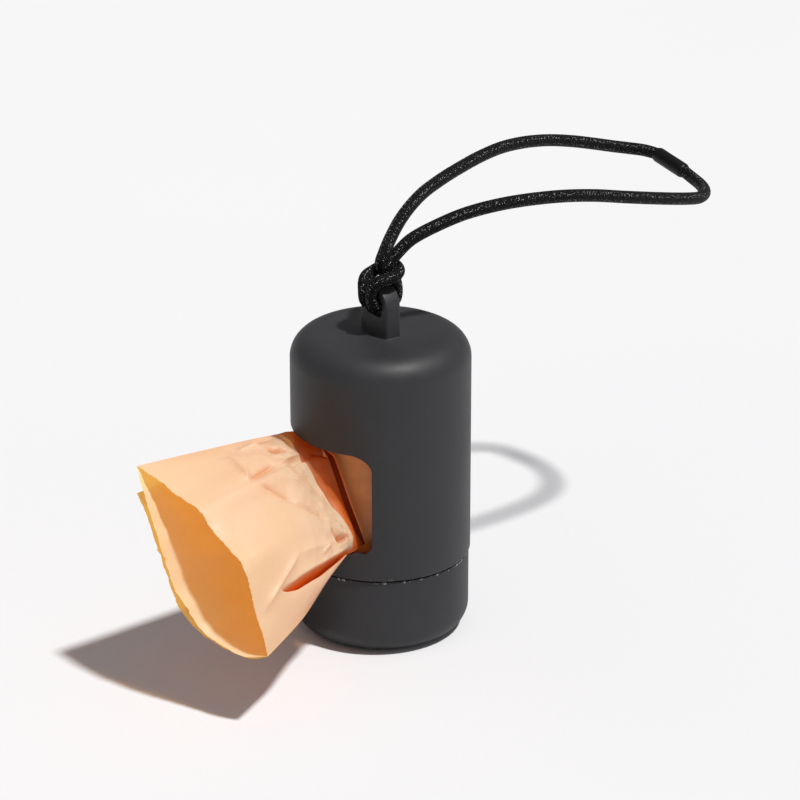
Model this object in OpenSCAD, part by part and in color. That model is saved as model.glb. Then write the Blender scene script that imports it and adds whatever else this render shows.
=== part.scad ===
// Dispenser for a roll of dog waste bags.
// A moulded casing with a side window hangs from a cord loop, and a cap closes its base.
// A roll of bags on a paper core turns inside, and the first bag is half pulled out.
// Millimetres. +Z is up, the origin is the middle of the base, the window faces -Y.

/* [Casing] */
// Outside diameter of the casing
casing_d = 42; // [40:0.5:46]
// Height of the closed body, base to top face
body_h = 73.6; // [71:0.2:82]
// Thickness of the casing's side wall
casing_wall = 1.8; // [1.4:0.1:2]
// Thickness of the casing's top wall
top_wall = 2.2; // [1.6:0.1:2.8]
// Outside radius of the rounded top edge
shoulder_r = 6; // [3:0.2:8]

/* [Window] */
// Width of the window across the front
window_w = 31.6; // [30:0.2:33]
// Height of the window
window_h = 24.8; // [24:0.2:28]
// Height of the window's lower edge above the base
window_z = 26.2; // [26:0.1:30]
// Corner radius at the top of the window
window_top_r = 4; // [2:0.1:6]
// Corner radius at the bottom of the window
window_foot_r = 2.6; // [1:0.1:4]

/* [Lug] */
// Width of the hanging lug, along its bar
lug_w = 10.6; // [9.6:0.2:13]
// Thickness of the hanging lug
lug_t = 4; // [3:0.1:4.2]
// Radius on the lug's upright edges
lug_edge_r = 0.7; // [0.2:0.1:1.2]
// Height of the eye's lower edge above the top face
eye_z = 4.6; // [3:0.1:6]
// Width of the eye
eye_w = 6.4; // [6.2:0.1:7]
// Height of the eye
eye_h = 4.4; // [4.2:0.1:6]
// Corner radius of the eye
eye_r = 1.4; // [0.6:0.1:2]
// Height of the bar above the eye
bar_h = 3; // [2:0.1:3.2]

/* [Cap] */
// Height of the seam above the base
seam_z = 19.7; // [17:0.1:20]
// Width of the seam groove
seam_gap = 0.35; // [0.2:0.05:0.6]
// How far the cap's side stands in from the casing's
cap_inset = 0.35; // [0.1:0.05:0.8]
// Outside radius of the cap's rounded foot
foot_r = 5.6; // [3:0.2:7]
// Thickness of the cap's floor
cap_floor = 2.2; // [1.6:0.1:3]
// Radius inside the cap where the floor meets the wall
cap_inner_r = 0.5; // [0.4:0.1:2]
// Height of the collar above the seam
collar_h = 5.6; // [5.2:0.1:6]
// Thickness of the collar
collar_wall = 1.2; // [1:0.1:1.6]
// Radial gap between the collar and the casing
collar_gap = 0.25; // [0.1:0.05:0.4]

/* [Bayonet] */
// Number of pins inside the casing
pin_count = 3; // [2:1:4]
// Diameter of a pin
pin_d = 2; // [1.4:0.1:2.2]
// Height of the pins above the seam
pin_z = 2.7; // [2.5:0.1:2.8]
// Gap round a pin in its slot
pin_gap = 0.3; // [0.2:0.05:0.4]
// Turn that lets the cap go
unlock_angle = 30; // [20:1:45]

/* [Roll] */
// Gap between the roll and the cap's collar
roll_side_gap = 2.25; // [1:0.05:3]
// Free height above the roll
roll_top_gap = 4.3; // [1:0.1:8]
// Outside diameter of the paper core
core_d = 16; // [12:0.5:20]
// Thickness of the paper core
core_wall = 1.2; // [0.8:0.1:2]
// Fit between the core and the film
core_fit = 0.05; // [0.02:0.01:0.1]
// Gap under the roll
roll_gap = 0.9; // [0.2:0.05:0.9]

/* [Pulled bag] */
// Distance from the gathered neck to the middle of the open mouth
bag_reach = 41; // [30:1:60]
// Width of the gathered neck, corner to corner
neck_w = 31.5; // [20:0.5:32]
// Slope of the neck's flat across the window
neck_tilt = 39; // [30:1:45]
// Width of the open mouth, corner to corner
mouth_w = 51.6; // [40:0.2:56]
// Slope of the mouth's flat
mouth_tilt = 43; // [35:1:50]
// How far the lower corner of the mouth lags behind the upper one
mouth_skew = 10; // [0:1:16]
// Sideways drift of the mouth's middle from the window's middle
mouth_drift = 12; // [4:0.5:14]
// Drop of the mouth's middle below the window's middle
mouth_drop = 2.5; // [0:0.5:6]
// Bulge of the front ply at the neck
neck_bulge = 2.6; // [2:0.1:3]
// Bulge of the front ply at the mouth
front_bulge = 9.5; // [4:0.5:10]
// Bulge of the back ply at the mouth
back_bulge = 13; // [4:0.5:14]
// Thickness of the ply, film and crumples taken together
ply_t = 1; // [0.8:0.1:1.4]
// Gap between the neck and the roll
neck_gap = 0.9; // [0.3:0.1:1.2]

/* [Cord] */
// Diameter of the elastic cord
cord_d = 3; // [2.6:0.1:3.2]
// Diameter of the cord where the knot squeezes it
knot_d = 2.3; // [2:0.1:2.3]
// Outside diameter of the shrink sleeve
sleeve_d = 4.1; // [3.9:0.1:5]
// Gap between the cord and the sleeve's bore
sleeve_fit = 0.06; // [0.04:0.01:0.1]
// Gap between the two cord ends inside the sleeve
cord_end_gap = 0.5; // [0.4:0.1:1]

/* [Hidden] */
$fn = 96;

casing_r = casing_d / 2;
inner_r = casing_r - casing_wall;
cap_r = casing_r - cap_inset;
collar_r = inner_r - collar_gap;
collar_inner_r = collar_r - collar_wall;
collar_top = seam_z + collar_h;
slot_h = pin_d + 2 * pin_gap;
slot_step = 0.2;
roll_d = 2 * (collar_inner_r - roll_side_gap);
roll_w = body_h - top_wall - roll_top_gap - roll_gap - cap_floor;
window_mid_z = window_z + window_h / 2;
lug_top_r = lug_w / 2;
lug_h = eye_z + eye_h + bar_h;
bar_z = body_h + eye_z + eye_h + bar_h / 2;
roll_z = cap_floor + roll_gap;
past = 1;

casing_colour = "#38383b";
cap_colour = "#353538";
core_colour = "#b9a388";
roll_colour = "#e9964f";
bag_colour = "#fdd0a8";
cord_colour = "#141416";
sleeve_colour = "#0e0e10";

// Knot, from the loop's near leg to its far leg, measured from the middle of the lug's bar.
// Each strand drops behind the bar, comes forward through the eye, climbs in front of the
// bar, and the two join in a collar that passes behind both legs.
knot_half = [
    [1.7, 2.8, 5.8], [1.5, 1.9, 4.9], [1.35, 1.5, 3.9], [1.35, 2, 3.1], [1.35, 3.1, 2.2], [1.35, 3.5, 0.4],
    [1.4, 3.5, -1.5], [1.4, 3, -2.8], [1.4, 1.6, -3.2], [1.4, -1.6, -3.2], [1.4, -3, -2.8],
    [1.4, -3.5, -1.5], [1.6, -3.5, 0.3], [2.4, -2.9, 2], [3.6, -1.1, 2.9], [4, 1.3, 3.2], [3.2, 3.8, 3.9]
];
knot_back = [0, 5.2, 4.3];

// Cord from the sleeve to the knot along the near side of the loop
near_run = [
    [-14.25, 99.25, 4.8], [-12, 99.5, 4.3], [-8.5, 99.1, 3.8], [-4, 98, 3.6], [0, 96, 3.8],
    [3.5, 93, 4.3], [6.3, 89, 5.1], [8.2, 84.5, 6.4], [10, 78, 8.3], [11.5, 70, 10.6], [12.5, 61, 13.1],
    [12.5, 52, 15.4], [12, 43, 17], [10.5, 34, 17.6], [9, 26, 17.5], [7, 18.5, 16.4], [5, 12, 14.3],
    [3.5, 7.5, 11.9], [2.3, 4.3, 9.1], [1.8, 2.9, 7.5]
];
// Cord from the sleeve to the knot along the far side of the loop
far_run = [
    [-18.75, 98.75, 5.8], [-21, 98.5, 6.3], [-24.5, 97.1, 6.6], [-27, 94.3, 7], [-28.7, 90.5, 7.8],
    [-29.4, 85, 9.4], [-29.3, 78, 11.5], [-28.5, 70, 13.6], [-26.8, 61.5, 15.3], [-24.5, 53, 16.4],
    [-21.5, 44.5, 16.8], [-18.2, 36, 16.7], [-15, 28, 16.3], [-11.7, 20.5, 15.6], [-8.6, 14.5, 14.4],
    [-6, 9.8, 12.6], [-4, 6.3, 10.1], [-2.3, 3.8, 8.3], [-1.8, 2.9, 7.5]
];
// Ends of the sleeve's axis, measured from the middle of the lug's bar
sleeve_from = [-21, 98.5, 6.3];
sleeve_to = [-12, 99.5, 4.3];

// Profile of a closed round body whose outer top edge is rounded
module dome_profile(r, h, edge_r) {
    square([r - edge_r, h]);
    square([r, h - edge_r]);
    translate([r - edge_r, h - edge_r]) circle(edge_r);
}

// Profile of a round cup whose outer bottom edge is rounded
module cup_profile(r, h, edge_r) {
    translate([0, edge_r]) square([r, h - edge_r]);
    square([r - edge_r, h]);
    translate([r - edge_r, edge_r]) circle(edge_r);
}

// Keeps the half of a turned profile that lies beside the axis
module turned() {
    rotate_extrude() intersection() {
        translate([0, -casing_d]) square([casing_d, 4 * body_h]);
        children();
    }
}

// Upright rectangle with one corner radius at its top and one at its foot
module window_shape(w, h, top_r, low_r) {
    translate([-w / 2, low_r]) square([w, h - low_r - top_r]);
    translate([-w / 2 + low_r, 0]) square([w - 2 * low_r, h - top_r]);
    translate([-w / 2 + top_r, low_r]) square([w - 2 * top_r, h - low_r]);
    for (side = [-1, 1]) {
        translate([side * (w / 2 - low_r), low_r]) circle(low_r);
        translate([side * (w / 2 - top_r), h - top_r]) circle(top_r);
    }
}

// Places a flat shape upright in the XZ plane, as thick as depth, with its middle at y = 0
module upright(depth) {
    translate([0, depth / 2, 0]) rotate([90, 0, 0]) linear_extrude(depth) children();
}

// Plan of the lug: a rectangle with rounded corners
module lug_plan() {
    translate([-lug_w / 2, -lug_t / 2 + lug_edge_r]) square([lug_w, lug_t - 2 * lug_edge_r]);
    translate([-lug_w / 2 + lug_edge_r, -lug_t / 2]) square([lug_w - 2 * lug_edge_r, lug_t]);
    for (sx = [-1, 1], sy = [-1, 1])
        translate([sx * (lug_w / 2 - lug_edge_r), sy * (lug_t / 2 - lug_edge_r)]) circle(lug_edge_r);
}

// Hanging lug: half round at its top, with a square-ended eye through it
module lug() {
    root = top_wall / 2;
    translate([0, 0, body_h]) difference() {
        intersection() {
            translate([0, 0, -root]) linear_extrude(lug_h + root) lug_plan();
            upright(lug_t + 2 * past) union() {
                translate([-lug_w / 2, -root]) square([lug_w, lug_h - lug_top_r + root]);
                translate([0, lug_h - lug_top_r]) circle(lug_top_r);
            }
        }
        translate([0, 0, eye_z]) upright(lug_t + 2 * past) window_shape(eye_w, eye_h, eye_r, eye_r);
    }
}

// Pins of the bayonet: round studs that stand in from the casing's wall
module bayonet_pins() {
    reach = casing_wall / 2 + collar_gap + collar_wall * 0.8;
    for (i = [0:pin_count - 1]) rotate(90 + i * 360 / pin_count)
        translate([inner_r + casing_wall / 2, 0, seam_z + pin_z]) rotate([0, -90, 0])
            cylinder(h = reach, d = pin_d, $fn = 32);
}

// Slots of the bayonet: each runs round from the locked pin, then up and out of the collar
module bayonet_slots() {
    low = seam_z + pin_z - slot_h / 2;
    pin_angle = asin(slot_h / 2 / collar_r);
    for (i = [0:pin_count - 1]) rotate(90 + i * 360 / pin_count) {
        translate([0, 0, low]) intersection() {
            difference() {
                cylinder(h = slot_h, r = collar_r + past);
                translate([0, 0, -past]) cylinder(h = slot_h + 2 * past, r = collar_inner_r - past);
            }
            linear_extrude(slot_h)
                polygon(2 * collar_r * [
                    [0, 0], [cos(pin_angle), -sin(pin_angle)], [cos(unlock_angle), sin(unlock_angle)]
                ]);
        }
        rotate(unlock_angle) translate([collar_inner_r - past, -slot_h / 2, low - slot_step])
            cube([collar_wall + 2 * past, slot_h, collar_h]);
    }
}

// Casing: shell, top, window, lug and bayonet pins, moulded as one
module casing() color(casing_colour) {
    difference() {
        turned() dome_profile(casing_r, body_h, shoulder_r);
        turned() translate([0, -past]) dome_profile(inner_r, body_h - top_wall + past, shoulder_r - casing_wall);
        translate([-casing_d, -casing_d, -past]) cube([2 * casing_d, 2 * casing_d, seam_z + past]);
        translate([0, -casing_r, window_z]) upright(casing_d)
            window_shape(window_w, window_h, window_top_r, window_foot_r);
    }
    lug();
    bayonet_pins();
}

// Cap: cup with a rounded foot and a slotted collar that enters the casing
module end_cap() color(cap_colour) difference() {
    union() {
        turned() cup_profile(cap_r, seam_z - seam_gap, foot_r);
        translate([0, 0, foot_r]) cylinder(h = collar_top - foot_r, r = collar_r);
    }
    turned() translate([0, cap_floor]) cup_profile(collar_inner_r, collar_top, cap_inner_r);
    bayonet_slots();
}

// Paper core of the roll
module roll_core() color(core_colour) translate([0, 0, roll_z]) difference() {
    cylinder(h = roll_w, d = core_d);
    translate([0, 0, -past]) cylinder(h = roll_w + 2 * past, d = core_d - 2 * core_wall);
}

// Film wound on the core
module bag_roll() color(roll_colour) translate([0, 0, roll_z]) difference() {
    cylinder(h = roll_w, d = roll_d);
    translate([0, 0, -past]) cylinder(h = roll_w + 2 * past, d = core_d + 2 * core_fit);
}

function unit(v) = v / norm(v);
function mix(a, b, t) = a + (b - a) * t;

// Pulled bag, as a tube of film whose cross-section is two bowed plies.
// It runs from the neck in the window, s = 0, to the open mouth, s = 1.
bag_rings = 8;
bag_sides = 24;
neck_mid = [0, -roll_d / 2 - neck_gap, window_mid_z];
mouth_mid = neck_mid + [mouth_drift, -bag_reach, -mouth_drop];
neck_half = neck_w / 2 * [cos(neck_tilt), 0, -sin(neck_tilt)];
mouth_flat = mouth_w / 2 * [cos(mouth_tilt), 0, -sin(mouth_tilt)];
mouth_half = mouth_flat + [0, mouth_skew / 2, 0];

function bag_mid(s) = mix(neck_mid, mouth_mid, s);
function bag_half(s) = mix(neck_half, mouth_half, sin(90 * s));
function bag_way(s) = mix([0, -1, 0], unit(mouth_mid - neck_mid), s);
function bag_up(s) = unit(cross(bag_way(s), bag_half(s)));
function bag_bulge(s, in_front) =
    in_front ? mix(neck_bulge, front_bulge, sqrt(s)) : mix(neck_bulge, back_bulge, s);
function bag_point(s, angle, inset) =
    let (
        across = bag_half(s) * (1 - 2 * inset / norm(bag_half(s))),
        bulge = bag_bulge(s, sin(angle) > 0) - inset
    )
    bag_mid(s) + across * cos(angle) + bag_up(s) * sin(angle) * abs(sin(angle)) * bulge;
function bag_ring(s, inset) = [for (k = [0:bag_sides - 1]) bag_point(s, 360 * k / bag_sides, inset)];

// Faces that join two rings of points, each with as many points as sides
function band(a, b, sides) = [for (k = [0:sides - 1]) let (n = (k + 1) % sides)
    each [[a + k, a + n, b + n], [a + k, b + n, b + k]]];
function fan(a, centre, sides) = [for (k = [0:sides - 1]) [a + (k + 1) % sides, a + k, centre]];
function back_to_front(faces) = [for (f = faces) [f[2], f[1], f[0]]];

module pulled_bag() color(bag_colour) {
    floor_s = ply_t / bag_reach;
    outer = [for (i = [0:bag_rings]) bag_ring(i / bag_rings, 0)];
    inner = [for (i = [0:bag_rings]) bag_ring(mix(1, floor_s, i / bag_rings), ply_t)];
    rings = concat(outer, inner);
    points = concat([for (r = rings) each r], [bag_mid(0), bag_mid(floor_s)]);
    last = (len(rings) - 1) * bag_sides;
    faces = concat(
        [for (i = [0:len(rings) - 2]) each band(i * bag_sides, (i + 1) * bag_sides, bag_sides)],
        fan(0, len(rings) * bag_sides, bag_sides),
        back_to_front(fan(last, len(rings) * bag_sides + 1, bag_sides))
    );
    polyhedron(points, faces);
}

// Sweep of a round cord along its route: rings of points that don't twist
cord_sides = 8;

function tangent(route, i) =
    unit(route[min(i + 1, len(route) - 1)] - route[max(i - 1, 0)]);
function square_to(v, way) = unit(v - (v * way) * way);
function ring_frames(route) = [
    for (i = 0, u = square_to([0.3, 0.2, 1], tangent(route, 0)); i < len(route);
         i = i + 1, u = i < len(route) ? square_to(u, tangent(route, i)) : u)
        [u, cross(tangent(route, i), u)]
];

module cord_tube(route, d) {
    frames = ring_frames(route);
    count = len(route);
    points = concat(
        [for (i = [0:count - 1], k = [0:cord_sides - 1])
            let (a = 360 * k / cord_sides)
            route[i] + d / 2 * (cos(a) * frames[i][0] + sin(a) * frames[i][1])],
        [route[0], route[count - 1]]
    );
    faces = concat(
        [for (i = [0:count - 2]) each band(i * cord_sides, (i + 1) * cord_sides, cord_sides)],
        fan(0, count * cord_sides, cord_sides),
        back_to_front(fan((count - 1) * cord_sides, count * cord_sides + 1, cord_sides))
    );
    translate([0, 0, bar_z]) polyhedron(points, back_to_front(faces));
}

function mirrored(list) = [for (i = [len(list) - 1:-1:0]) [-list[i][0], list[i][1], list[i][2]]];

// Knot: the squeezed part of the cord, hitched round the lug's bar
module cord_knot() color(cord_colour)
    cord_tube(concat(knot_half, [knot_back], mirrored(knot_half)), knot_d);

// Loop: the cord's two runs, whose cut ends meet inside the sleeve
module cord_loop() color(cord_colour) {
    middle = (sleeve_from + sleeve_to) / 2;
    way = unit(sleeve_to - sleeve_from);
    cord_tube(concat([middle + way * cord_end_gap / 2], near_run), cord_d);
    cord_tube(concat([middle - way * cord_end_gap / 2], far_run), cord_d);
}

// Sleeve shrunk over the two ends of the cord
module cord_sleeve() color(sleeve_colour) {
    run = sleeve_to - sleeve_from;
    translate([0, 0, bar_z] + sleeve_from)
        rotate([0, acos(run[2] / norm(run)), atan2(run[1], run[0])])
            difference() {
                cylinder(h = norm(run), d = sleeve_d, $fn = 48);
                translate([0, 0, -past])
                    cylinder(h = norm(run) + 2 * past, d = cord_d + 2 * sleeve_fit, $fn = 48);
            }
}

casing();
end_cap();
roll_core();
bag_roll();
pulled_bag();
cord_knot();
cord_loop();
cord_sleeve();
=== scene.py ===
import math

import bmesh
import bpy
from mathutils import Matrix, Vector, noise


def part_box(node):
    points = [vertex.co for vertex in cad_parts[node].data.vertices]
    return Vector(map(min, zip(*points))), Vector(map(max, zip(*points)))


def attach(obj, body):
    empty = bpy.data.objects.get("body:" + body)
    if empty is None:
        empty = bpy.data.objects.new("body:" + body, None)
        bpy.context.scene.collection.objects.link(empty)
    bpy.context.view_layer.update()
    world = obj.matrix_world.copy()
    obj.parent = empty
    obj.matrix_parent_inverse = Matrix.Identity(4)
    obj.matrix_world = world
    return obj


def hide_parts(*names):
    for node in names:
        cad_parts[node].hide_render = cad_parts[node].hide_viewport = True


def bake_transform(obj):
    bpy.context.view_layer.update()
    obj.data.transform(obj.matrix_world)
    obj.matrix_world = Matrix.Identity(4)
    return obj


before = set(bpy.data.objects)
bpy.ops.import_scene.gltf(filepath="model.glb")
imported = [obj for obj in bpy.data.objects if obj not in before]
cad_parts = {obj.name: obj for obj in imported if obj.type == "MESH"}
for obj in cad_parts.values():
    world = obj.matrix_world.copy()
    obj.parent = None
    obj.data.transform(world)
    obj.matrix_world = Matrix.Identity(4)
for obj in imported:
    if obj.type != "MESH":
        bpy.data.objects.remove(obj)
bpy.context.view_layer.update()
MM = 0.001


# ---------------------------------------------------------------- Camera
# A long lens from the front right, a little above the dispenser, as the picture was taken. Its
# place comes from the ellipses of the body's top, seam and foot in the picture.
camera_data = bpy.data.cameras.new("camera")
camera_data.lens = 168.3
camera_data.sensor_width = 36.0
camera = bpy.data.objects.new("camera", camera_data)
camera.location = (0.6512, -0.4590, 0.3995)
camera.rotation_euler = (math.radians(66.7), 0.0, math.radians(54.5))
bpy.context.scene.collection.objects.link(camera)
bpy.context.scene.camera = camera


# ---------------------------------------------------------------- Casing
# One ABS moulding: shell, rounded top, window and hanging lug, with a soft matte paint-like
# finish. Its edges are broken by a small radius, as a mould leaves them.
def to_object(name, bm, smooth=True):
    """Closes a bmesh into a new object at the origin."""
    for face in bm.faces:
        face.smooth = smooth
    mesh = bpy.data.meshes.new(name)
    bm.to_mesh(mesh)
    bm.free()
    piece = bpy.data.objects.new(name, mesh)
    bpy.context.scene.collection.objects.link(piece)
    return piece


def rounded_copy(node, name, radius):
    """A copy of a CAD node with its sharp edges rounded."""
    bm = bmesh.new()
    bm.from_mesh(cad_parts[node].data)
    bmesh.ops.remove_doubles(bm, verts=bm.verts, dist=2e-6)
    bmesh.ops.dissolve_degenerate(bm, edges=bm.edges, dist=2e-6)
    bmesh.ops.dissolve_limit(bm, verts=bm.verts, edges=bm.edges, angle_limit=math.radians(0.4))
    sharp = [e for e in bm.edges if e.is_manifold and e.calc_face_angle(0.0) > math.radians(32)]
    bmesh.ops.bevel(bm, geom=sharp, offset=radius * MM, affect="EDGES", segments=3, profile=0.5, material=-1)
    for e in bm.edges:
        e.smooth = e.is_manifold and e.calc_face_angle(0.0) < math.radians(28)
    bmesh.ops.triangulate(bm, faces=[f for f in bm.faces if len(f.verts) > 4])
    return to_object(name, bm)


def srgb(text):
    """Linear colour of an sRGB hex value."""
    parts = [int(text[i:i + 2], 16) / 255 for i in (1, 3, 5)]
    return [c / 12.92 if c <= 0.04045 else ((c + 0.055) / 1.055) ** 2.4 for c in parts] + [1.0]


def add(material, kind, settings=None, **links):
    """Adds a node. A link is named as its socket, or i and the socket's number, and its value is a
    number, a colour or another node's output. A colour ramp's stops are (place, colour or grey)."""
    node = material.node_tree.nodes.new(kind)
    for key, value in (settings or {}).items():
        if key != "stops":
            setattr(node, key, value)
            continue
        elements = node.color_ramp.elements
        while len(elements) < len(value):
            elements.new(0.5)
        for element, (place, colour) in zip(elements, value):
            element.position = place
            element.color = srgb(colour) if isinstance(colour, str) else (colour, colour, colour, 1)
    for key, value in links.items():
        numbered = key[0] == "i" and key[1:].isdigit()
        socket = node.inputs[int(key[1:]) if numbered else key.replace("_", " ")]
        if isinstance(value, bpy.types.NodeSocket):
            material.node_tree.links.new(value, socket)
        else:
            socket.default_value = value
    return node


def new_material(name, roughness, specular=0.5):
    """A node material and its surface shader, for plastic, film, paper or fibre of IOR 1.5."""
    material = bpy.data.materials.new(name)
    material.use_nodes = True
    shader = material.node_tree.nodes["Principled BSDF"]
    shader.inputs["Roughness"].default_value = roughness
    shader.inputs["Specular IOR Level"].default_value = specular
    shader.inputs["IOR"].default_value = 1.5
    return material, shader


def moulded_plastic(name, dark, light, ring_z, rubbed):
    """Matte ABS from a spark-eroded mould. Faint clouds about 17 mm across keep the charcoal from
    looking flat, and the edge at the height ring_z shows pale rubbed chips about 1 mm long. The
    mould's grain of 0.05 mm is drawn at 0.4 mm so that it breaks the highlight."""
    material, shader = new_material(name, roughness=0.5, specular=0.4)
    place = add(material, "ShaderNodeTexCoord").outputs["Object"]
    cloud = add(material, "ShaderNodeTexNoise", Vector=place, Scale=60.0, Detail=4.0, Roughness=0.6).outputs["Fac"]
    tone = add(material, "ShaderNodeValToRGB", {"stops": [(0.3, dark), (0.75, light)]}, Fac=cloud)
    height = add(material, "ShaderNodeSeparateXYZ", Vector=place).outputs["Z"]
    ring = add(material, "ShaderNodeMath", {"operation": "COMPARE"}, i0=height, i1=ring_z * MM, i2=0.24 * MM)
    chips = add(material, "ShaderNodeTexNoise", Vector=place, Scale=750.0, Detail=3.0, Roughness=0.7)
    chipped = add(material, "ShaderNodeValToRGB", {"stops": [(0.56, 0.0), (0.64, rubbed)]}, Fac=chips.outputs["Fac"])
    worn = add(material, "ShaderNodeMath", {"operation": "MULTIPLY"}, i0=ring.outputs[0], i1=chipped.outputs["Color"])
    colour = add(material, "ShaderNodeMix", {"data_type": "RGBA"}, i0=worn.outputs[0], i6=tone.outputs["Color"],
                 i7=srgb("#b9b9bb"))
    material.node_tree.links.new(colour.outputs[2], shader.inputs["Base Color"])
    rough = add(material, "ShaderNodeValToRGB", {"stops": [(0.3, 0.5), (0.75, 0.6)]}, Fac=cloud)
    material.node_tree.links.new(rough.outputs["Color"], shader.inputs["Roughness"])
    grain = add(material, "ShaderNodeTexNoise", Vector=place, Scale=2600.0, Detail=2.0, Roughness=0.6)
    bump = add(material, "ShaderNodeBump", Strength=0.3, Distance=0.06 * MM, Height=grain.outputs["Fac"])
    material.node_tree.links.new(bump.outputs["Normal"], shader.inputs["Normal"])
    return material


casing = rounded_copy("casing", "casing_shell", radius=0.25)
casing.data.materials.clear()
casing.data.materials.append(
    moulded_plastic("moulded_abs_charcoal", "#29292c", "#323235", ring_z=19.95, rubbed=0.12)
)
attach(casing, "casing")
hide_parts("casing")


# ---------------------------------------------------------------- Cord
# One length of 3 mm round elastic, braided black polyester over rubber strands. It is hitched
# round the lug's bar and its two cut ends meet inside a shrink sleeve at the far side.
LUG_BAR_Z = 84.1
CORD_D = 3.0
KNOT_D = 2.9

# The route in mm from the middle of the lug's bar: from the sleeve along the near side of the
# loop, through the hitch, and back along the far side.
near_run = [
    (-14.25, 99.25, 4.8), (-12, 99.5, 4.3), (-8.5, 99.1, 3.8), (-4, 98, 3.6), (0, 96, 3.8),
    (3.5, 93, 4.3), (6.3, 89, 5.1), (8.2, 84.5, 6.4), (10, 78, 8.3), (11.5, 70, 10.6), (12.5, 61, 13.1),
    (12.5, 52, 15.4), (12, 43, 17), (10.5, 34, 17.6), (9, 26, 17.5), (7, 18.5, 16.4), (5, 12, 14.3),
    (3.3, 6.7, 11.9), (2.3, 3.7, 9.3), (1.8, 2.2, 7.5),
]
knot_half = [
    (1.6, 1.4, 6.1), (1.5, 1.2, 5), (1.42, 1.4, 4.1), (1.37, 2.1, 3.3), (1.35, 3, 2.2), (1.35, 3.5, 0.4),
    (1.4, 3.5, -1.5), (1.4, 3, -2.8), (1.4, 1.6, -3.2), (1.4, -1.6, -3.2), (1.4, -3, -2.8),
    (1.4, -3.5, -1.5), (1.5, -3.55, 0.3),
]
near_collar = [(2.1, -3.3, 2.2), (3.2, -1.8, 3.4), (3.8, 0.8, 3.8), (3, 3, 4.6), (0, 4.1, 4.9)]
far_collar = [(2, -3.2, 1.7), (2.9, -1.9, 2.7), (3.4, 0.3, 3.2), (2.8, 2.9, 4.2)]
far_run = [
    (-18.75, 98.75, 5.8), (-21, 98.5, 6.3), (-24.5, 97.1, 6.6), (-27, 94.3, 7), (-28.7, 90.5, 7.8),
    (-29.4, 85, 9.4), (-29.3, 78, 11.5), (-28.5, 70, 13.6), (-26.8, 61.5, 15.3), (-24.5, 53, 16.4),
    (-21.5, 44.5, 16.8), (-18.2, 36, 16.7), (-15, 28, 16.3), (-11.7, 20.5, 15.6), (-8.6, 14.5, 14.4),
    (-6, 9.6, 12.6), (-4, 5.9, 10.3), (-2.6, 3.6, 8.7), (-1.85, 2.3, 7.5),
]
cord_route = (
    [(-16.25, 99.03, 5.24)] + near_run + knot_half + near_collar
    + [(-x, y, z) for x, y, z in reversed(knot_half + far_collar)] + far_run[::-1] + [(-16.75, 98.97, 5.36)]
)
cord_route = [Vector(p) * MM + Vector((0, 0, LUG_BAR_Z * MM)) for p in cord_route]


def smooth_line(points, spacing):
    """Points a spacing apart on the smooth curve through the given ones."""
    points = [Vector(p) for p in points]
    pieces = 24
    fine = []
    for i in range(len(points) - 1):
        a, b = points[i], points[i + 1]
        before = points[i - 1] if i else a * 2 - b
        after = points[i + 2] if i + 2 < len(points) else b * 2 - a
        for k in range(pieces):
            t = k / pieces
            fine.append(0.5 * (
                2 * a + (b - before) * t + (2 * before - 5 * a + 4 * b - after) * t * t
                + (3 * a - before - 3 * b + after) * t ** 3
            ))
    fine.append(points[-1])
    runs = [0.0]
    for a, b in zip(fine, fine[1:]):
        runs.append(runs[-1] + (b - a).length)
    count = max(2, round(runs[-1] / spacing))
    out, j = [], 0
    for i in range(count + 1):
        want = runs[-1] * i / count
        while j < len(runs) - 2 and runs[j + 1] < want:
            j += 1
        step = runs[j + 1] - runs[j]
        out.append(fine[j].lerp(fine[j + 1], (want - runs[j]) / step if step else 0.0))
    return out


def tube(name, line, radius, sides):
    """A closed round tube along line. Its UV map is in millimetres: round the tube, and along it."""
    bm = bmesh.new()
    uv = bm.loops.layers.uv.new("length_mm")
    rings, runs, run, side = [], [], 0.0, Vector((0.3, 0.2, 1.0))
    for i, p in enumerate(line):
        way = (line[min(i + 1, len(line) - 1)] - line[max(i - 1, 0)]).normalized()
        side = (side - side.dot(way) * way).normalized()
        run += (p - line[i - 1]).length if i else 0.0
        r = radius(i / (len(line) - 1))
        rings.append([
            bm.verts.new(p + r * (math.cos(a) * side + math.sin(a) * way.cross(side)))
            for a in (2 * math.pi * k / sides for k in range(sides))
        ])
        runs.append(run / MM)
    side_mm = 2 * math.pi * radius(0.0) / MM / sides
    for i in range(len(rings) - 1):
        for k in range(sides):
            n = (k + 1) % sides
            face = bm.faces.new((rings[i][k], rings[i][n], rings[i + 1][n], rings[i + 1][k]))
            for loop, (u, v) in zip(face.loops, ((k, i), (k + 1, i), (k + 1, i + 1), (k, i + 1))):
                loop[uv].uv = (u * side_mm, runs[v])
    bm.faces.new(reversed(rings[0]))
    bm.faces.new(rings[-1])
    return to_object(name, bm)


# The hitch is drawn tight between these lengths from the cord's two ends, and the cord thins to
# it over 4 mm.
NEAR_LENGTH, FAR_LENGTH, THINNING = 118.5, 112.5, 4.0
cord_line = smooth_line(cord_route, 0.5 * MM)
cord_length = sum((b - a).length for a, b in zip(cord_line, cord_line[1:])) / MM


def cord_radius(share):
    """Half the cord's thickness at that share of its length."""
    run = share * cord_length
    inside = min(run - NEAR_LENGTH, cord_length - FAR_LENGTH - run)
    squeeze = min(1.0, max(0.0, inside / THINNING))
    return (CORD_D + (KNOT_D - CORD_D) * squeeze) * MM / 2


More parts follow.
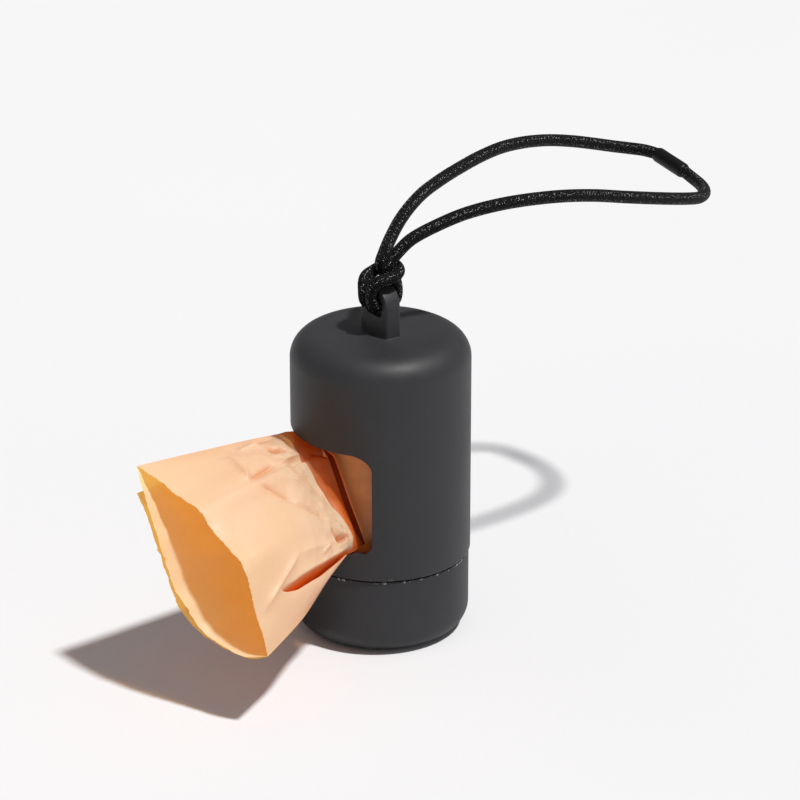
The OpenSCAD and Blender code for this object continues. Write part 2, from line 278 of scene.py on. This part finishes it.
# Braided polyester: black yarn with a slight sheen, and pale flecks painted into its colour as
# the glints of single filaments that catch the light. Yarns 0.44 mm wide cross at 45 degrees, so
# that each takes 0.62 mm of the cord's length. The painted glints lie in five rows round it, in
# dashes of 0.5 mm.
YARN_MM = 0.62
FLECK_ROW_MM = 1.88
braid, braid_shader = new_material("braided_polyester_black", roughness=0.62, specular=0.14)
braid_uv = add(braid, "ShaderNodeUVMap", {"uv_map": "length_mm"}).outputs["UV"]
braid_xy = add(braid, "ShaderNodeSeparateXYZ", Vector=braid_uv).outputs
waves = []
for sense in (1.0, -1.0):
    slant = add(braid, "ShaderNodeMath", {"operation": "MULTIPLY_ADD"}, i0=braid_xy["X"], i1=sense, i2=braid_xy["Y"])
    turn = add(braid, "ShaderNodeMath", {"operation": "MULTIPLY"}, i0=slant.outputs[0], i1=2 * math.pi / YARN_MM)
    waves.append(add(braid, "ShaderNodeMath", {"operation": "SINE"}, i0=turn.outputs[0]))
yarns = add(braid, "ShaderNodeMath", {"operation": "MULTIPLY"}, i0=waves[0].outputs[0], i1=waves[1].outputs[0])
flecks = add(braid, "ShaderNodeTexNoise", Vector=braid_uv, Scale=2.1, Detail=2.0, Roughness=0.8)
fleck_mask = add(braid, "ShaderNodeValToRGB", {"stops": [(0.54, 0.0), (0.6, 1.0)]}, Fac=flecks.outputs["Fac"])
yarn_top = add(braid, "ShaderNodeValToRGB", {"stops": [(0.05, 0.0), (0.55, 1.0)]}, Fac=yarns.outputs[0])
fleck_on_yarn = add(braid, "ShaderNodeMath", {"operation": "MULTIPLY"}, i0=fleck_mask.outputs["Color"],
                    i1=yarn_top.outputs["Color"])
row_turn = add(braid, "ShaderNodeMath", {"operation": "MULTIPLY"}, i0=braid_xy["X"], i1=2 * math.pi / FLECK_ROW_MM)
row_wave = add(braid, "ShaderNodeMath", {"operation": "SINE"}, i0=row_turn.outputs[0])
row_mask = add(braid, "ShaderNodeValToRGB", {"stops": [(0.0, 0.4), (0.3, 1.0)]}, Fac=row_wave.outputs[0])
fleck_in_row = add(braid, "ShaderNodeMath", {"operation": "MULTIPLY"}, i0=fleck_on_yarn.outputs[0],
                   i1=row_mask.outputs["Color"])
braid_colour = add(braid, "ShaderNodeValToRGB", {"stops": [(0.0, "#020203"), (0.25, "#070708"), (1.0, "#dcdcde")]},
                   Fac=fleck_in_row.outputs[0])
braid.node_tree.links.new(braid_colour.outputs["Color"], braid_shader.inputs["Base Color"])
braid_bump = add(braid, "ShaderNodeBump", Strength=0.5, Distance=0.12 * MM, Height=yarns.outputs[0])
braid.node_tree.links.new(braid_bump.outputs["Normal"], braid_shader.inputs["Normal"])

cord = tube("cord", cord_line, cord_radius, sides=20)
cord.data.materials.append(braid)
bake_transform(cord)
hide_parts("cord_knot", "cord_loop")


# ---------------------------------------------------------------- Shrink sleeve
# Black polyolefin tube shrunk over the cord's two ends. It is smooth and thin, and it necks
# down to the cord at both of its ends.
SLEEVE_LENGTH, SLEEVE_NECK = 9.8, 0.8
SLEEVE_END_R, SLEEVE_SWELL = 1.6, 0.28
sleeve_ends = [(-21.3, 98.47, 6.37), (-11.7, 99.53, 4.23)]
sleeve_from, sleeve_to = [Vector(p) * MM + Vector((0, 0, LUG_BAR_Z * MM)) for p in sleeve_ends]
sleeve_line = [sleeve_from.lerp(sleeve_to, i / 40) for i in range(41)]


def sleeve_radius(share):
    """Half the sleeve's thickness: it closes on the cord over its neck."""
    end = min(share, 1 - share) * SLEEVE_LENGTH / SLEEVE_NECK
    return (SLEEVE_END_R + SLEEVE_SWELL * math.sin(math.pi / 2 * min(1.0, end))) * MM


# Satin and nearly black, faintly mottled about every millimetre.
shrink, shrink_shader = new_material("polyolefin_shrink_tube", roughness=0.42, specular=0.25)
shrink_noise = add(shrink, "ShaderNodeTexNoise", Scale=900.0, Detail=2.0,
                   Vector=add(shrink, "ShaderNodeTexCoord").outputs["Object"])
shrink_tone = add(shrink, "ShaderNodeValToRGB", {"stops": [(0.3, "#040405"), (0.8, "#09090a")]},
                  Fac=shrink_noise.outputs["Fac"])
shrink.node_tree.links.new(shrink_tone.outputs["Color"], shrink_shader.inputs["Base Color"])

sleeve = tube("shrink_sleeve", sleeve_line, sleeve_radius, sides=32)
sleeve.data.materials.append(shrink)
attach(sleeve, "loop")
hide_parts("cord_sleeve")


# ---------------------------------------------------------------- Roll core
# A tube of grey-brown board, wound and glued. The film is wound on it, and it shows only at the
# ends of the roll.
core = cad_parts["roll_core"]

# Dull board with short fibres about 0.5 mm long.
board, board_shader = new_material("core_board", roughness=0.85)
board_place = add(board, "ShaderNodeTexCoord").outputs["Object"]
board_fibre = add(board, "ShaderNodeTexNoise", Vector=board_place, Scale=1800.0, Detail=4.0, Roughness=0.7)
board_tone = add(board, "ShaderNodeValToRGB", {"stops": [(0.3, "#a08a6c"), (0.75, "#bfa98a")]},
                 Fac=board_fibre.outputs["Fac"])
board.node_tree.links.new(board_tone.outputs["Color"], board_shader.inputs["Base Color"])
core.data.materials.clear()
core.data.materials.append(board)


# ---------------------------------------------------------------- Roll of bags
# Folded bags of thin orange film, wound tight. The outside is slightly wavy and creased, and
# the ends are cut square.
ROLL_R, ROLL_INNER_R = 15.5, 8.05

# How far inside that radius the film lies, and how deep its waves and creases are, in mm.
ROLL_SINK, ROLL_WAVE, ROLL_CREASE = 0.12, 0.1, 0.03
roll_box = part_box("bag_roll")
roll_low, roll_high = roll_box[0][2], roll_box[1][2]
bm = bmesh.new()
profile = [(ROLL_INNER_R, 0.0), (ROLL_R, 0.0), (ROLL_R, 1.0), (ROLL_INNER_R, 1.0)]
corners = [bm.verts.new((r * MM, 0, roll_low + (roll_high - roll_low) * s)) for r, s in profile]
edges = [bm.edges.new((corners[i], corners[(i + 1) % 4])) for i in range(4)]
bmesh.ops.subdivide_edges(bm, edges=[edges[1]], cuts=79)
bmesh.ops.subdivide_edges(bm, edges=[edges[0], edges[2]], cuts=15)
bmesh.ops.spin(
    bm, geom=bm.verts[:] + bm.edges[:], cent=(0, 0, 0), axis=(0, 0, 1), angle=2 * math.pi, steps=120, use_merge=True,
)
bmesh.ops.recalc_face_normals(bm, faces=bm.faces)
for v in bm.verts:
    r = math.hypot(v.co.x, v.co.y)
    if r > ROLL_R * MM * 0.999:
        wave = noise.noise(Vector((v.co.x * 90, v.co.y * 90, v.co.z * 35)))
        fine = noise.noise(Vector((v.co.x * 300, v.co.y * 300, v.co.z * 120)))
        r_new = r - (ROLL_SINK + ROLL_WAVE * wave + ROLL_CREASE * fine) * MM
        v.co.x *= r_new / r
        v.co.y *= r_new / r
roll = to_object("film_roll", bm)

# Many layers of peach film look deeper in colour than one. Soft wrinkles, about 6 mm apart and
# finer, give the roll its uneven satin look.
rolled, rolled_shader = new_material("wound_polyethylene_film", roughness=0.42)
rolled_place = add(rolled, "ShaderNodeTexCoord").outputs["Object"]
rolled_noise = add(rolled, "ShaderNodeTexNoise", Vector=rolled_place, Scale=160.0, Detail=5.0, Roughness=0.65)
rolled_tone = add(rolled, "ShaderNodeValToRGB", {"stops": [(0.25, "#dc864a"), (0.8, "#f0a56c")]},
                  Fac=rolled_noise.outputs["Fac"])
rolled.node_tree.links.new(rolled_tone.outputs["Color"], rolled_shader.inputs["Base Color"])
rolled_bump = add(rolled, "ShaderNodeBump", Strength=0.3, Distance=0.2 * MM, Height=rolled_noise.outputs["Fac"])
rolled.node_tree.links.new(rolled_bump.outputs["Normal"], rolled_shader.inputs["Normal"])
roll.data.materials.append(rolled)
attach(roll, "roll")
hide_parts("bag_roll")


# ---------------------------------------------------------------- Pulled bag
# The first bag of the roll, half out of the window with its torn mouth open. It is peach film
# 15 microns thick that light shines through, soft, crumpled at the neck and taut at the sides.

# The edges of its front in mm: the taut side on top, the taut side below, the gathered neck, and
# the torn lip.
top_edge = [(-10.6, -21.5, 49.5), (-9.6, -31, 50.7), (-8.4, -42, 51.8), (-7.2, -53, 52.9), (-6.3, -62.6, 53.7)]
low_edge = [(13.7, -20.4, 27.3), (16.8, -25.6, 25.7), (20.8, -32, 23.6), (24.7, -38.7, 21.5), (28.2, -46, 19.9),
            (31.2, -52.8, 18.5)]
front_neck = [(-10.6, -21.5, 49.5), (-6.3, -21.3, 49.4), (-1.9, -22.5, 48.8), (0.5, -22.9, 46.8), (2, -22.2, 46.5),
              (5.3, -21.2, 42.2), (8.8, -19.9, 38), (11.4, -18.7, 35.2), (13.2, -17.8, 31.6), (13.8, -17.9, 29.9),
              (14, -18.6, 28.2), (13.7, -20.4, 27.3)]
front_lip = [(-6.3, -62.6, 53.7), (0.7, -60.9, 52.1), (5.6, -59.7, 50.2), (11.8, -58.1, 48.7), (15.5, -57.1, 45.1),
             (20.6, -55.7, 41.6), (24.5, -54.7, 38.7), (26.6, -54.3, 34.2), (28.3, -53.9, 28.1), (30, -53.3, 23.5),
             (31.2, -52.8, 18.5)]


def sampled(points, count):
    """A smooth line through points in mm, as count points in metres."""
    line = smooth_line([Vector(p) * MM for p in points], 0.02 * MM)
    return [line[round(i * (len(line) - 1) / (count - 1))] for i in range(count)]


def ply(neck, lip, first, last, across=91, along=81):
    """A sheet between four edge lines, neck and lip across it, first and last along it, with a value
    for how far each point is doubled film or painted with shade."""
    neck, lip = sampled(neck, across), sampled(lip, across)
    first, last = sampled(first, along), sampled(last, along)
    bm = bmesh.new()
    uv = bm.loops.layers.uv.new("film")
    layer = bm.verts.layers.float.new("doubled")
    grid = []
    for j in range(along):
        s = j / (along - 1)
        row = []
        for i in range(across):
            u = i / (across - 1)
            p = neck[i] * (1 - s) + lip[i] * s + first[j] * (1 - u) + last[j] * u
            p -= (neck[0] * (1 - u) + neck[-1] * u) * (1 - s) + (lip[0] * (1 - u) + lip[-1] * u) * s
            row.append(bm.verts.new(p))
        grid.append(row)
    for j in range(along - 1):
        for i in range(across - 1):
            face = bm.faces.new((grid[j][i], grid[j][i + 1], grid[j + 1][i + 1], grid[j + 1][i]))
            for loop, (a, b) in zip(face.loops, ((i, j), (i + 1, j), (i + 1, j + 1), (i, j + 1))):
                loop[uv].uv = (a / (across - 1), b / (along - 1))
    return bm, grid, layer


# The way the front of the bag faces. Folds lift or sink the film along it.
film_out = Vector((0.651, 0.154, 0.743))


def beside(point, a, b):
    """Where point lies beside the line from a to b, seen square to the film: its share of the way
    along, the step from the line to it, and the line."""
    a, b = Vector(a) * MM, Vector(b) * MM
    line = (b - a) - (b - a).dot(film_out) * film_out
    to = (point - a) - (point - a).dot(film_out) * film_out
    t = min(1.0, max(0.0, to.dot(line) / line.length_squared))
    return t, to - line * t, line


def crease(point, a, b, height, width):
    """How far a fold from a to b lifts or sinks the film at point; its ends fade out."""
    t, step, _ = beside(point, a, b)
    return height * MM * math.exp(-step.length / (width * MM)) * min(1.0, 4 * t, 4 * (1 - t))


# Where the slit runs, and in mm: how high its lip stands, how deep its floor lies, its width, and
# the run over which the film rises again.
SLIT = ((14.8, -20.4, 29), (24.4, -46, 29.3))
SLIT_LIP, SLIT_FLOOR, SLIT_W, SLIT_RISE = 1.5, -4.6, 1.3, 0.7


def slit(point):
    """The long fold's opening at point: its height, and how much doubled film and painted shade its
    colour shows there. It has a raised lip, a steep wall that the light misses, a floor, and the
    flap below, to which the film rises again. It fades out towards both ends, and its painted
    shade is darkest at the neck."""
    t, step, line = beside(point, *SLIT)
    side = step.dot(line.cross(film_out).normalized()) / MM + 0.15 * noise.noise(point * 200)
    fade = min(1.0, 1.7 * t + 0.28) * min(1.0, 4.5 * (1 - t))
    lip, floor, wide = SLIT_LIP * fade, SLIT_FLOOR * fade, 0.1 + SLIT_W * fade
    shade = (0.4 + 0.45 * (1 - t) ** 1.5) * min(1.0, 2 * fade)
    if side >= 0:
        return MM * lip * math.exp(-side / 3), 0.0
    if side > -wide:
        down = -side / wide
        drop = 0.4 * down + 0.6 * down * down * (3 - 2 * down)
        return MM * (lip + (floor - lip) * drop), shade * min(1.0, -side / 0.35)
    past = min(1.0, (-side - wide) / SLIT_RISE)
    risen = past * past * (3 - 2 * past)
    return MM * (floor * (1 - risen) - 0.5 * fade * risen * math.exp((side + wide) / 2.5)), shade * (1 - risen)


def facets(point, size, height):
    """Flat crumpled facets, about size mm wide, with sharp folds between them."""
    return height * MM * (noise.voronoi(point / (size * MM))[0][0] - 0.4)


def rag(edge_row, seed):
    """Tears the lip's edge a little unevenly, in waves about 5, 1.2 and 0.4 mm long."""
    for i, v in enumerate(edge_row):
        x = 90 * i / (len(edge_row) - 1)
        bite = sum(
            depth * noise.noise(Vector((x * rate, place, seed)))
            for depth, rate, place in ((0.5, 0.25, 7.0), (0.4, 1.1, 3.0), (0.5, 2.9, 5.0))
        )
        v.co += Vector((-0.05, 0.95, 0.0)) * bite * 0.6 * MM * math.sin(math.pi * x / 90) ** 0.3


# Each fold in the front: from, to, height (below zero it sinks) and width.
front_creases = [
    ((17, -38.5, 31.4), (27.2, -53, 25.6), 1.3, 1.0), ((15.5, -24.5, 32), (20.5, -39, 34), 0.9, 1.6),
    ((-4.1, -41.4, 49.9), (2.8, -43, 44.2), 1.6, 0.9), ((2.8, -43, 44.2), (-0.5, -32.9, 45), -1.5, 0.8),
    ((-0.5, -32.9, 45), (-3.1, -22.9, 45.2), 1.6, 0.9), ((-4.8, -31, 48), (-3.6, -23, 45.8), -2.2, 1.2),
    ((-6.8, -33.1, 50.5), (-8.3, -24, 50.2), -1.4, 0.8), ((-5.3, -37.8, 50.3), (-6.8, -30, 50.4), 1.3, 0.9),
    ((-2.6, -32.5, 46.6), (-3, -20, 44.8), 1.7, 0.8), ((3.5, -41.6, 43.3), (7.8, -33, 38.2), -1.0, 0.9),
    ((2.5, -33, 43.5), (8.6, -20.4, 36.5), 1.0, 0.9), ((7.8, -35, 38.2), (11.5, -22, 34), -0.8, 1.0),
    ((12, -25.7, 32.6), (14, -23.2, 30.3), -1.6, 0.7), ((14.2, -25.2, 30.6), (13, -18.6, 30.4), -2.2, 0.9),
    ((14.9, -27, 30.6), (17.1, -31, 29.6), 1.2, 0.8), ((9.5, -27, 35), (12.5, -21, 32.5), 1.0, 0.8),
]
# A tuft of crumpled film stands up where the neck meets the slit.
TUFT, TUFT_R, TUFT_H = Vector((14.2, -21.5, 31.8)), 2.6, 1.8

# The front: swollen in the middle, gathered into facets near the neck, folded and slit. Its folds
# fade out towards its edges.
bm, grid, layer = ply(front_neck, front_lip, top_edge, low_edge, across=241, along=161)
for j, row in enumerate(grid):
    s = j / (len(grid) - 1)
    for i, v in enumerate(row):
        u = i / (len(row) - 1)
        flat = v.co.copy()
        hold = min(1.0, 12 * u, 12 * (1 - u)) * min(1.0, 10 * (1 - s)) * min(1.0, 0.25 + 6 * s)
        swell = 2.4 * MM * 4 * u * (1 - u) * 4 * s * (1 - s)
        folds = sum(crease(flat, *fold) for fold in front_creases)
        broad = noise.noise(flat * 110 + Vector((3, 1, 2))) * 0.9 * MM
        near = max(0.0, 1 - 1.55 * s)
        gathers = facets(flat, 6.5, 2.5) * near + facets(flat, 2.8, 0.8) * near * near
        tuft = math.exp(-((flat - TUFT * MM).length / (TUFT_R * MM)) ** 2)
        v.co += film_out * (swell + (folds + broad + gathers) * hold + (TUFT_H * MM + facets(flat, 2.2, 2.0)) * tuft)
        # The slit's wall and the sunk creases are painted darker orange, as painted shade.
        opening, doubled = slit(flat)
        v.co += film_out * opening * min(1.0, 16 * (1 - u)) * min(1.0, 30 * s)
        v[layer] = max(doubled, min(0.3, max(0.0, -folds * hold / (7 * MM))))
rag(grid[-1], seed=1.0)
front_ply = to_object("bag_front", bm)


def billowed(name, grid_mesh, height, shift, seed):
    """A ply of the back, waved a little between its sides and torn at its lip, facing backwards."""
    bm, grid, _ = grid_mesh
    for row in grid:
        for i, v in enumerate(row):
            hold = math.sin(math.pi * i / (len(row) - 1))
            v.co += film_out * noise.noise(v.co * 120 + Vector((shift, shift, shift))) * height * MM * hold
    rag(grid[-1], seed)
    bmesh.ops.reverse_faces(bm, faces=bm.faces)
    return to_object(name, bm)


# The back, whose lip shows past the mouth in the sun.
back_neck = [(-10.6, -21.5, 49.5), (-7, -18.2, 44.5), (-2.5, -17.2, 38.5), (2.5, -17.2, 33.5), (8.5, -18, 29.5),
             (13.7, -20.4, 27.3)]
back_lip = [(-6.3, -62.6, 53.7), (-2.8, -63.4, 49.3), (1.4, -63.7, 43.7), (4.6, -63.7, 39.2), (6.6, -63.4, 34.2),
            (9.2, -62.8, 29.3), (12.1, -61.9, 25.7), (15.4, -60.4, 21.1), (20, -58.4, 18.7), (26.2, -56, 17.4),
            (31.2, -52.8, 18.5)]
back_grid = ply(back_neck, back_lip, top_edge, low_edge)
back_ply = billowed("bag_back", back_grid, height=0.9, shift=0, seed=2.0)

# The third layer, behind the back.
outer_first = [(-10.6, -21.5, 48.8), (-9.8, -34, 48.5), (-8.2, -49, 47.6), (-6.5, -62.7, 46.9)]
outer_last = [(x - 0.2, y, z - 0.3) for x, y, z in low_edge[:-1]] + [(31.1, -52.8, 18.3)]
outer_neck = [(-10.6, -21.5, 48.8), (-8.2, -18.6, 43.6), (-3.7, -17.7, 37.3), (1.5, -17.8, 32.2), (8, -18.8, 28.6),
              (13.5, -20.4, 27)]
outer_lip = [(-6.5, -62.7, 46.9), (-0.9, -63.5, 43.2), (1.4, -63.3, 38.9), (4.1, -62.9, 33.2), (6, -62.4, 28.8),
             (9, -61.4, 23.5), (12.8, -60, 20.1), (16.8, -58.6, 18.4), (21.6, -57, 17.3), (27, -54.9, 16.8),
             (31.1, -52.8, 18.3)]
outer_grid = ply(outer_neck, outer_lip, outer_first, outer_last)
outer_ply = billowed("bag_outer", outer_grid, height=0.7, shift=5, seed=3.0)

# The film that turns back from the neck to the roll, doubled and in the shade of the window, with
# that shade also painted into its colour, darker towards the roll. One sharp fold runs across it.
RETURN_FOLD = ((-2.8, -21, 45.3), (4.4, -15.5, 45.9), -1.5, 0.5)
roll_line = [(-10, -16.4, 49.2), (-5.8, -16.6, 48.6), (-0.2, -17.2, 49.1), (2.5, -17.7, 48.7), (4.6, -18, 47.9),
             (6.9, -17.6, 43.6), (8.9, -16.7, 38), (10.2, -15.5, 33.1), (10.9, -13.8, 28.9), (11.2, -12.9, 27.2)]
return_top = [(-10.6, -21.5, 49.5), (-10.4, -19, 49.6), (-10, -16.4, 49.2)]
return_low = [(13.7, -20.4, 27.3), (12.6, -16.5, 27), (10.8, -12.6, 27)]
bm, grid, layer = ply(front_neck, roll_line, return_top, return_low, along=21)
for j, row in enumerate(grid):
    s = j / (len(grid) - 1)
    for i, v in enumerate(row):
        hold = math.sin(math.pi * s) * min(1.0, 8 * (1 - i / (len(row) - 1)))
        v[layer] = 0.42 + 0.2 * s
        v.co += Vector((0.2, -1, 0.1)) * (noise.noise(v.co * 260) * 0.7 * MM + facets(v.co, 3.0, 0.8)) * hold
        v.co += film_out * crease(v.co, *RETURN_FOLD)
bmesh.ops.reverse_faces(bm, faces=bm.faces)
return_ply = to_object("bag_return", bm)

# The strip that leads on from there and meets the roll's surface. Its colour is painted the
# darkest of all, as the shade in the gap between the film and the roll.
touch_line = [(-8.6, -14.4, 48.6), (-4.8, -15.2, 48.4), (-0.8, -15.7, 48.2), (1.5, -15.6, 47.5), (3.2, -15.4, 46.7),
              (5.3, -14.8, 42.2), (7.3, -13.9, 36.6), (8.9, -12.9, 31.9), (10, -12.1, 28.1), (10.4, -11.8, 26.6)]
shade_lead_sides = [roll_line[0], touch_line[0]], [roll_line[-1], touch_line[-1]]
bm, grid, layer = ply(roll_line, touch_line, *shade_lead_sides, along=9)
for v in bm.verts:
    v[layer] = 1.0
bmesh.ops.reverse_faces(bm, faces=bm.faces)
shade_lead_ply = to_object("bag_lead_shade", bm)

# Thin hazy polyethylene. It scatters cream light back and lets warm orange light through. Faint
# clouds 14 mm across and crinkles 2 mm apart keep it from looking like card. Doubled film turns
# burnt orange and lets little through; the same burnt orange is painted on as shade in the sunk
# creases, in the slit's wall, over the film in the window's shade and on the strip at the roll.
film, film_shader = new_material("polyethylene_film_peach", roughness=0.45)
film_place = add(film, "ShaderNodeTexCoord").outputs["Object"]
doubled = add(film, "ShaderNodeAttribute", {"attribute_name": "doubled"}).outputs["Fac"]
film_noise = add(film, "ShaderNodeTexNoise", Vector=film_place, Scale=70.0, Detail=4.0, Roughness=0.6)
film_tone = add(film, "ShaderNodeValToRGB", {"stops": [(0.3, "#fdf4cd"), (0.75, "#fffada")]},
                Fac=film_noise.outputs["Fac"])
doubled_shade_colour = add(film, "ShaderNodeValToRGB", {"stops": [(0.5, "#dd7430"), (1.0, "#7a2f10")]}, Fac=doubled)
doubled_shade_share = add(film, "ShaderNodeValToRGB", {"stops": [(0.0, 0.0), (0.5, 1.0)]}, Fac=doubled)
film_colour = add(film, "ShaderNodeMix", {"data_type": "RGBA"}, i0=doubled_shade_share.outputs["Color"],
                  i6=film_tone.outputs["Color"], i7=doubled_shade_colour.outputs["Color"])
film.node_tree.links.new(film_colour.outputs[2], film_shader.inputs["Base Color"])
film_fine = add(film, "ShaderNodeTexNoise", Vector=film_place, Scale=520.0, Detail=4.0, Roughness=0.6)
film_bump = add(film, "ShaderNodeBump", Strength=0.22, Distance=0.4 * MM, Height=film_fine.outputs["Fac"])
film.node_tree.links.new(film_bump.outputs["Normal"], film_shader.inputs["Normal"])
through_colour = add(film, "ShaderNodeValToRGB", {"stops": [(0.0, "#ffb834"), (0.5, "#ee7a20"), (1.0, "#902c08")]},
                     Fac=doubled)
through = add(film, "ShaderNodeBsdfTranslucent", Color=through_colour.outputs["Color"])
hazy = add(film, "ShaderNodeMixShader", Fac=0.38, i1=film_shader.outputs[0], i2=through.outputs[0])
straight = add(film, "ShaderNodeBsdfTransparent", Color=srgb("#ffbc4c"))
share = add(film, "ShaderNodeValToRGB", {"stops": [(0.0, 0.22), (0.6, 0.0)]}, Fac=doubled)
clear = add(film, "ShaderNodeMixShader", Fac=share.outputs["Color"], i1=hazy.outputs[0], i2=straight.outputs[0])
film.node_tree.links.new(clear.outputs[0], film.node_tree.nodes["Material Output"].inputs["Surface"])

for piece in (front_ply, back_ply, outer_ply, return_ply, shade_lead_ply):
    piece.data.materials.append(film)
    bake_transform(piece)
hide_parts("pulled_bag")


# ---------------------------------------------------------------- End cap
# The second moulding of the same plastic. Its collar turns on the casing's pins, and the rim
# at the seam is rubbed pale in places where it is gripped.
cap = rounded_copy("end_cap", "cap_shell", radius=0.2)
cap.data.materials.clear()
cap.data.materials.append(moulded_plastic("moulded_abs_cap", "#28282b", "#313134", ring_z=19.1, rubbed=0.9))
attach(cap, "cap")
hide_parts("end_cap")


# ---------------------------------------------------------------- Floor and light
# A pale plain floor of white paper, under one key light from the right with a low even fill.
# Nothing else of the room is built.
bm = bmesh.new()
bmesh.ops.create_grid(bm, x_segments=1, y_segments=1, size=6.0)
floor = to_object("floor", bm, smooth=False)

# Matte paper, mottled too faintly to notice. It is nearly white to the camera, in reflections and
# through clear film. Other rays get a duller tone, so that the floor doesn't light the body from
# below more than in the picture.
paper, paper_shader = new_material("white_paper", roughness=0.9, specular=0.1)
paper_noise = add(paper, "ShaderNodeTexNoise", Vector=add(paper, "ShaderNodeTexCoord").outputs["Object"], Scale=3.0)
paper_tone = add(paper, "ShaderNodeValToRGB", {"stops": [(0.2, "#e0e0e3"), (0.8, "#e4e4e6")]},
                 Fac=paper_noise.outputs["Fac"])
seen = add(paper, "ShaderNodeLightPath").outputs
seen_plain = add(paper, "ShaderNodeMath", {"operation": "MAXIMUM"}, i0=seen["Is Camera Ray"],
                 i1=seen["Is Transmission Ray"])
seen_all = add(paper, "ShaderNodeMath", {"operation": "MAXIMUM"}, i0=seen_plain.outputs[0], i1=seen["Is Glossy Ray"])
paper_colour = add(paper, "ShaderNodeMix", {"data_type": "RGBA"}, i0=seen_all.outputs[0], i6=srgb("#c6c6c8"),
                   i7=paper_tone.outputs["Color"])
paper.node_tree.links.new(paper_colour.outputs[2], paper_shader.inputs["Base Color"])
floor.data.materials.append(paper)

sun_data = bpy.data.lights.new("key", "SUN")
sun_data.energy = 3.4
sun_data.angle = math.radians(4.2)
sun_data.color = (1.0, 0.985, 0.965)
sun = bpy.data.objects.new("key", sun_data)
sun.rotation_euler = Vector((0.433, 0.1725, 1.0)).to_track_quat("Z", "Y").to_euler()
bpy.context.scene.collection.objects.link(sun)

world = bpy.data.worlds.new("studio")
world.use_nodes = True
sky = world.node_tree.nodes["Background"]
sky.inputs["Color"].default_value = (0.97, 0.985, 1.0, 1.0)
sky.inputs["Strength"].default_value = 0.26
bpy.context.scene.world = world
bpy.context.scene.view_settings.view_transform = "Standard"
